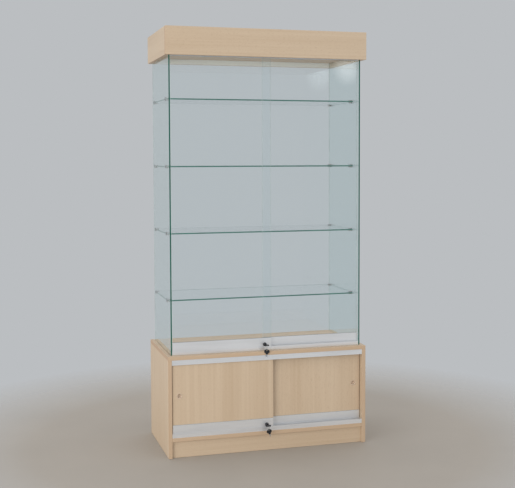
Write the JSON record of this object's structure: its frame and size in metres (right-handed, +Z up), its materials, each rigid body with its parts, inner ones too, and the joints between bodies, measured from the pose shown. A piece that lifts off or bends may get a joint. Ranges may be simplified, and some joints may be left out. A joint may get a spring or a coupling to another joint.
{
  "type": "glass display case",
  "caption": "Tall shop display case: laminated cupboard with sliding doors, a lockable glass showcase with glass shelves above it, and a canopy with downlights.",
  "frame": {"origin": "on the floor under the middle of the case, at the underside of the plinth bearer", "axes": "+Z up, +Y towards the back of the case, +X towards its right side seen from the front"},
  "size_m": [0.98, 0.5175, 2],
  "materials": {
    "laminate": "light beech woodgrain laminate, satin",
    "backboard": "thin light laminate board, satin",
    "clear_glass": "clear float glass with polished green edges",
    "aluminium": "satin anodised",
    "clip_metal": "satin nickel",
    "lock_metal": "black nickel, polished",
    "key_plastic": "black, fine grain",
    "finger_cup": "beige moulded",
    "lamp_metal": "white, satin",
    "gland_plastic": "black moulded"
  },
  "bodies": {
    "case": {"base_side_left": "laminate", "base_side_right": "laminate", "base_bottom": "laminate", "base_back": "backboard", "plinth_front": "laminate", "plinth_back": "laminate", "plinth_bearer": "laminate", "display_deck": "laminate", "glass_side_left": "clear_glass", "glass_side_right": "clear_glass", "glass_back": "clear_glass", "cupboard_track_bottom": "aluminium", "cupboard_track_top": "aluminium", "glass_track_bottom": "aluminium", "glass_track_top": "aluminium", "canopy_front": "laminate", "canopy_left": "laminate", "canopy_right": "laminate", "canopy_top": "laminate", "canopy_back": "laminate", "lead_gland": "gland_plastic", "canopy_soffit": "laminate", "downlight_left": "lamp_metal", "downlight_right": "lamp_metal", "shelf_1": "clear_glass", "shelf_1_clip_left_front": "clip_metal", "shelf_1_clip_left_back": "clip_metal", "shelf_1_clip_right_front": "clip_metal", "shelf_1_clip_right_back": "clip_metal", "shelf_2": "clear_glass", "shelf_2_clip_left_front": "clip_metal", "shelf_2_clip_left_back": "clip_metal", "shelf_2_clip_right_front": "clip_metal", "shelf_2_clip_right_back": "clip_metal", "shelf_3": "clear_glass", "shelf_3_clip_left_front": "clip_metal", "shelf_3_clip_left_back": "clip_metal", "shelf_3_clip_right_front": "clip_metal", "shelf_3_clip_right_back": "clip_metal", "shelf_4": "clear_glass", "shelf_4_clip_left_front": "clip_metal", "shelf_4_clip_left_back": "clip_metal", "shelf_4_clip_right_front": "clip_metal", "shelf_4_clip_right_back": "clip_metal"},
    "cupboard_leaf_left": {"cupboard_door_left": "laminate", "cupboard_shoe_left": "aluminium", "finger_cup_left": "finger_cup"},
    "cupboard_leaf_right": {"cupboard_door_right": "laminate", "cupboard_shoe_right": "aluminium", "finger_cup_right": "finger_cup"},
    "cupboard_lock": {"cupboard_lock_barrel": "lock_metal"},
    "cupboard_key_set": {"cupboard_lock_plug": "lock_metal", "cupboard_key": "key_plastic"},
    "glass_leaf_left": {"glass_door_left": "clear_glass", "glass_shoe_left": "aluminium"},
    "glass_leaf_right": {"glass_door_right": "clear_glass", "glass_shoe_right": "aluminium"},
    "glass_lock": {"glass_lock_barrel": "lock_metal"},
    "glass_key_set": {"glass_lock_plug": "lock_metal", "glass_key": "key_plastic"}
  },
  "joints": [
    {"name": "cupboard_left_slide", "type": "slide", "parent": "case", "child": "cupboard_leaf_left", "axis": [1, 0, 0], "range_m": [0, 0.445]},
    {"name": "cupboard_right_slide", "type": "slide", "parent": "case", "child": "cupboard_leaf_right", "axis": [-1, 0, 0], "range_m": [0, 0.445]},
    {"name": "cupboard_lock_push", "type": "slide", "parent": "cupboard_leaf_left", "child": "cupboard_lock", "axis": [0, -1, 0], "range_m": [-0.007, 0], "stiffness_N_per_m": 150, "springref_m": 0.004},
    {"name": "cupboard_key_turn", "type": "hinge", "parent": "cupboard_lock", "child": "cupboard_key_set", "pos_m": [-0.014, -0.24, 0.1265], "axis": [0, 1, 0], "range_deg": [0, 90]},
    {"name": "glass_left_slide", "type": "slide", "parent": "case", "child": "glass_leaf_left", "axis": [1, 0, 0], "range_m": [0, 0.4375]},
    {"name": "glass_right_slide", "type": "slide", "parent": "case", "child": "glass_leaf_right", "axis": [-1, 0, 0], "range_m": [0, 0.4375]},
    {"name": "glass_lock_push", "type": "slide", "parent": "glass_leaf_left", "child": "glass_lock", "axis": [0, -1, 0], "range_m": [-0.007, 0], "stiffness_N_per_m": 150, "springref_m": 0.004},
    {"name": "glass_key_turn", "type": "hinge", "parent": "glass_lock", "child": "glass_key_set", "pos_m": [-0.014, -0.24, 0.5075], "axis": [0, 1, 0], "range_deg": [0, 90]}
  ]
}
